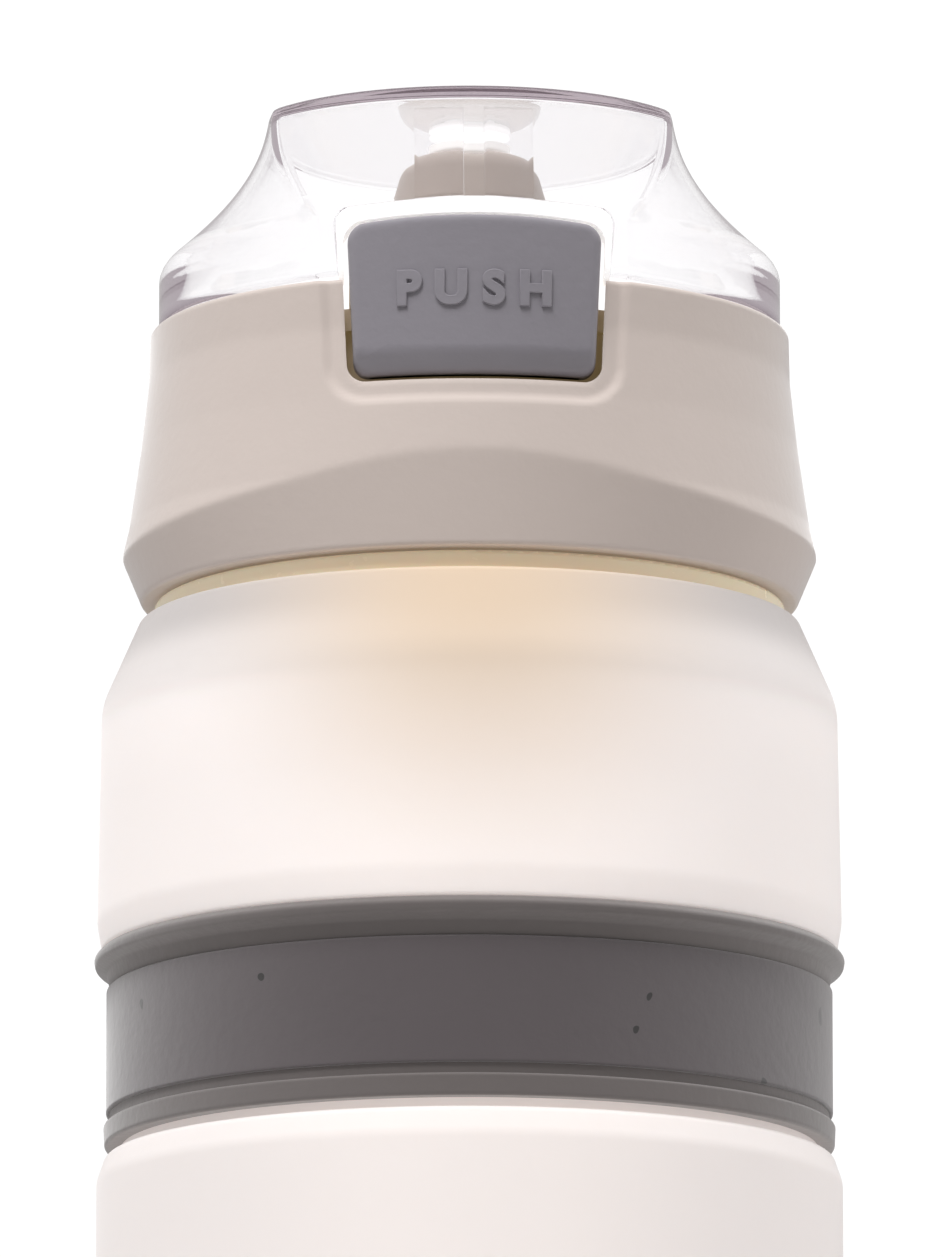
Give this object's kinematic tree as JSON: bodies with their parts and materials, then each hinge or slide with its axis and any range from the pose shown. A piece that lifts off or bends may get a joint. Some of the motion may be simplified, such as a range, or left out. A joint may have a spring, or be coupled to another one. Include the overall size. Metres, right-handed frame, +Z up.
{
  "type": "folding water bottle",
  "caption": "Folding silicone water bottle with a grey waist band, a screw lid, a push button and a clear flip cover over a soft spout.",
  "frame": {"origin": "centre of the foot, on the surface the bottle stands on", "axes": "+Z up along the bottle's axis, the push button faces -Y, the cover's hinge is at +Y, +X to the right seen from the front"},
  "size_m": [0.0749, 0.075, 0.2036],
  "materials": {
    "clear": "clear polished polycarbonate-like plastic",
    "beige": "satin warm beige",
    "soft_beige": "satin beige silicone",
    "button_grey": "satin grey",
    "silicone": "frosted translucent silicone",
    "ring_grey": "satin warm grey",
    "grip_grey": "fine matt warm grey silicone",
    "natural": "milky natural plastic",
    "seal": "milky silicone",
    "steel": "drawn stainless wire and rod"
  },
  "bodies": {
    "foot": {"foot_rim": "silicone", "lower_wall": "silicone", "fold_web": "silicone"},
    "base": {"base_plate": "silicone"},
    "shell": {"upper_body": "silicone", "waist_ring": "ring_grey", "grip_band": "grip_grey", "neck_insert": "natural"},
    "lid_seat": {"lid_gasket": "seal"},
    "lid": {"lid_core": "beige", "lid_collar": "beige", "button_spring": "steel", "spout": "natural", "spout_ring": "seal", "mouthpiece": "soft_beige", "spout_valve": "seal", "vent_valve": "seal", "hinge_pin": "steel", "hinge_spring": "steel"},
    "button": {"push_button": "button_grey"},
    "cover": {"flip_cover": "clear", "cover_seal": "seal"}
  },
  "joints": [
    {"name": "fold", "type": "slide", "parent": "foot", "child": "shell", "axis": [0, 0, -1], "range_m": [0, 0.065], "deforming": ["lower_wall"]},
    {"name": "base_rise", "type": "slide", "parent": "foot", "child": "base", "axis": [0, 0, 1], "range_m": [0, 0.065], "deforming": ["fold_web"]},
    {"name": "cap_lift", "type": "slide", "parent": "shell", "child": "lid_seat", "axis": [0, 0, 1], "range_m": [0, 0.0061]},
    {"name": "cap_turn", "type": "hinge", "parent": "lid_seat", "child": "lid", "pos_m": [0, 0, 0.17], "axis": [0, 0, 1], "range_deg": [0, 540]},
    {"name": "button_press", "type": "slide", "parent": "lid", "child": "button", "axis": [0, 1, 0], "range_m": [0, 0.0016], "stiffness_N_per_m": 300, "springref_m": -0.001, "deforming": ["button_spring"]},
    {"name": "cover_hinge", "type": "hinge", "parent": "lid", "child": "cover", "pos_m": [0, 0.0338, 0.1849], "axis": [-1, 0, 0], "range_deg": [0, 150], "deforming": ["hinge_spring"]}
  ],
  "couplings": [
    {"joint": "base_rise", "follows": "fold", "ratio": 1},
    {"joint": "cap_lift", "follows": "cap_turn", "m_per_rad": 0.00063662}
  ]
}
